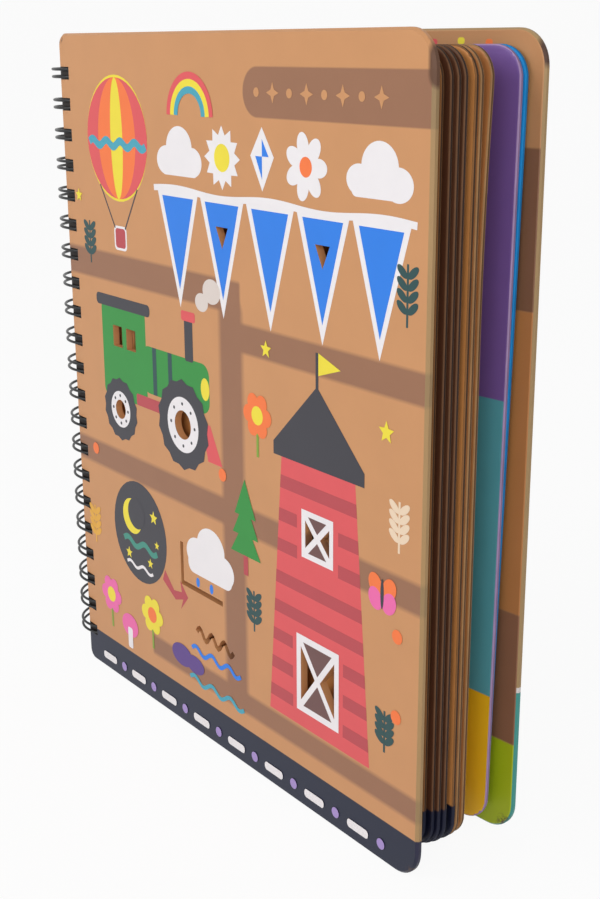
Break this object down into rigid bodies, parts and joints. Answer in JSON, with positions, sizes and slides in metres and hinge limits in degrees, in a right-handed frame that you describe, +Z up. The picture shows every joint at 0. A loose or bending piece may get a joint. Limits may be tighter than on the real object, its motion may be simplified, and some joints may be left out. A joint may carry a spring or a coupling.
{
  "type": "board book",
  "caption": "Large wire-bound board book with two thick covers, fanned board leaves and die-cut windows in the front cover, standing upright.",
  "frame": {"origin": "below the middle of the book's box, at the level of the covers' lower edges on which it stands", "axes": "+X from the spine to the fore-edge, -Y out of the front cover, +Z up"},
  "size_m": [0.2508, 0.0514, 0.286],
  "materials": {
    "front_board": "printed, semi-gloss laminate",
    "back_board": "printed, semi-gloss laminate",
    "page_board": "printed board with raw cut edges",
    "black_wire": "gloss nylon-coated wire"
  },
  "bodies": {
    "pages": {"page_block": "page_board", "binding_wire": "black_wire"},
    "front_cover": {"front_cover": "front_board"},
    "back_cover": {"back_cover": "back_board"}
  },
  "joints": [
    {"name": "front_cover_hinge", "type": "hinge", "parent": "pages", "child": "front_cover", "pos_m": [-0.10802, 0, 0], "axis": [0, 0, -1], "range_deg": [-1.5, 175]},
    {"name": "back_cover_hinge", "type": "hinge", "parent": "pages", "child": "back_cover", "pos_m": [-0.10802, 0, 0], "axis": [0, 0, 1], "range_deg": [-0.15, 175]}
  ]
}
